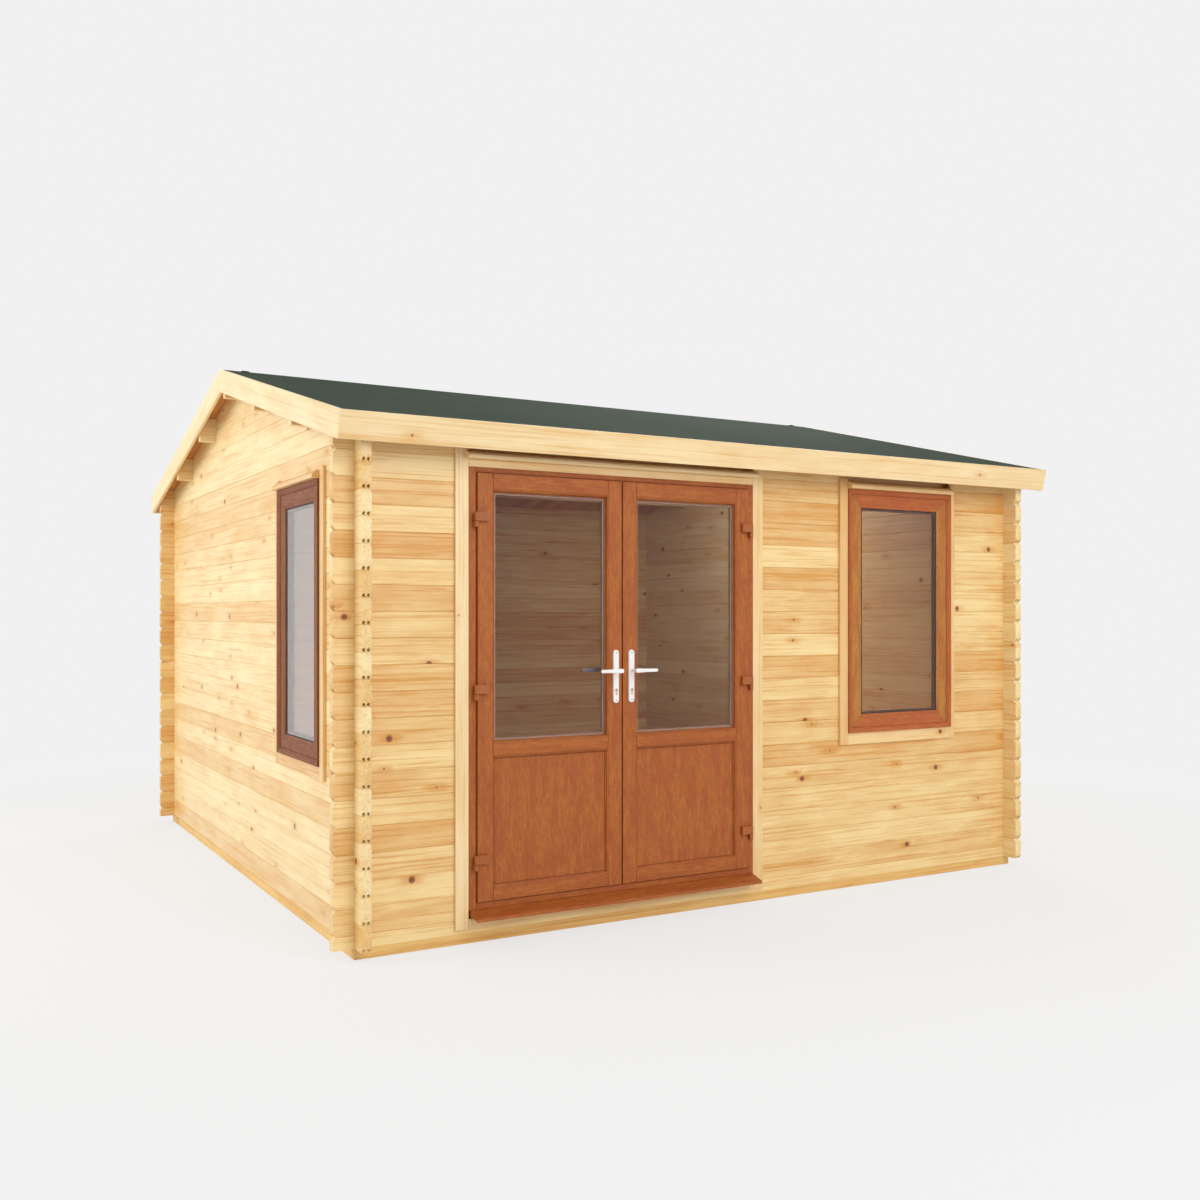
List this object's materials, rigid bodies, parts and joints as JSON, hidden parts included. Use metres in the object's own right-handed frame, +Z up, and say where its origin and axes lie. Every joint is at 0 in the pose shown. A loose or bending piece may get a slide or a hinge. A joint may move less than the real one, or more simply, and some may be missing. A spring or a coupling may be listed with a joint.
{
  "type": "log cabin",
  "caption": "Square log cabin with interlocking corner logs, a low double-pitched felt roof, half-glazed French doors opening outwards and tall fixed-look windows.",
  "frame": {"origin": "on the ground at the centre of the plan, under the ridge", "axes": "+Z up; -Y towards the front wall with the doors; +X along the front wall from its left corner to its right, seen from outside"},
  "size_m": [4.19, 4.308, 2.828],
  "materials": {
    "log_pine": "planed, satin",
    "planed_pine": "planed, satin",
    "roof_boards": "planed, matt",
    "floor_boards": "planed, satin",
    "bearer_timber": "sawn, matt",
    "green_felt": "mineral grit, matt",
    "oak_foil_upvc": "wood-grain foil, satin",
    "glass": "clear",
    "brown_hinge": "powder coat, satin",
    "white_handle": "powder coat, satin",
    "brass": "satin"
  },
  "bodies": {
    "cabin": {"bearer_frame": "bearer_timber", "floor": "floor_boards", "front_wall_left": "log_pine", "front_wall_under_door": "log_pine", "front_wall_right": "log_pine", "front_wall_plate": "log_pine", "back_wall": "log_pine", "left_wall": "log_pine", "right_wall": "log_pine", "purlins": "log_pine", "roof_deck_front": "roof_boards", "roof_deck_back": "roof_boards", "roof_felt": "green_felt", "fascia_front": "planed_pine", "fascia_back": "planed_pine", "barge_left_front": "planed_pine", "barge_left_back": "planed_pine", "barge_right_front": "planed_pine", "barge_right_back": "planed_pine", "door_frame": "oak_foil_upvc", "door_cill": "oak_foil_upvc", "door_trims": "planed_pine", "door_frame_hinges": "brown_hinge", "front_window_frame": "oak_foil_upvc", "front_window_sash": "oak_foil_upvc", "front_window_glass": "glass", "front_window_trims": "planed_pine", "side_window_frame": "oak_foil_upvc", "side_window_sash": "oak_foil_upvc", "side_window_glass": "glass", "side_window_trims": "planed_pine"},
    "left_door": {"left_leaf": "oak_foil_upvc", "left_door_glass": "glass", "left_door_panel": "oak_foil_upvc", "left_door_hinges": "brown_hinge", "left_handle_plates": "white_handle", "left_key_cylinder": "brass"},
    "right_door": {"right_leaf": "oak_foil_upvc", "right_door_glass": "glass", "right_door_panel": "oak_foil_upvc", "right_door_hinges": "brown_hinge", "right_handle_plates": "white_handle", "right_key_cylinder": "brass"},
    "left_lever_body": {"left_lever": "white_handle"},
    "right_lever_body": {"right_lever": "white_handle"}
  },
  "joints": [
    {"name": "left_door_hinge", "type": "hinge", "parent": "cabin", "child": "left_door", "pos_m": [-1.4315, -2.0165, 1.1], "axis": [0, 0, -1], "range_deg": [0, 100]},
    {"name": "right_door_hinge", "type": "hinge", "parent": "cabin", "child": "right_door", "pos_m": [0.0765, -2.0165, 1.1], "axis": [0, 0, 1], "range_deg": [0, 100]},
    {"name": "left_lever_turn", "type": "hinge", "parent": "left_door", "child": "left_lever_body", "pos_m": [-0.713, -1.978, 1.194], "axis": [0, -1, 0], "range_deg": [0, 40], "stiffness_Nm_per_rad": 1.2, "springref_deg": -20.05},
    {"name": "right_lever_turn", "type": "hinge", "parent": "right_door", "child": "right_lever_body", "pos_m": [-0.6275, -1.978, 1.194], "axis": [0, 1, 0], "range_deg": [0, 40], "stiffness_Nm_per_rad": 1.2, "springref_deg": -20.05}
  ]
}
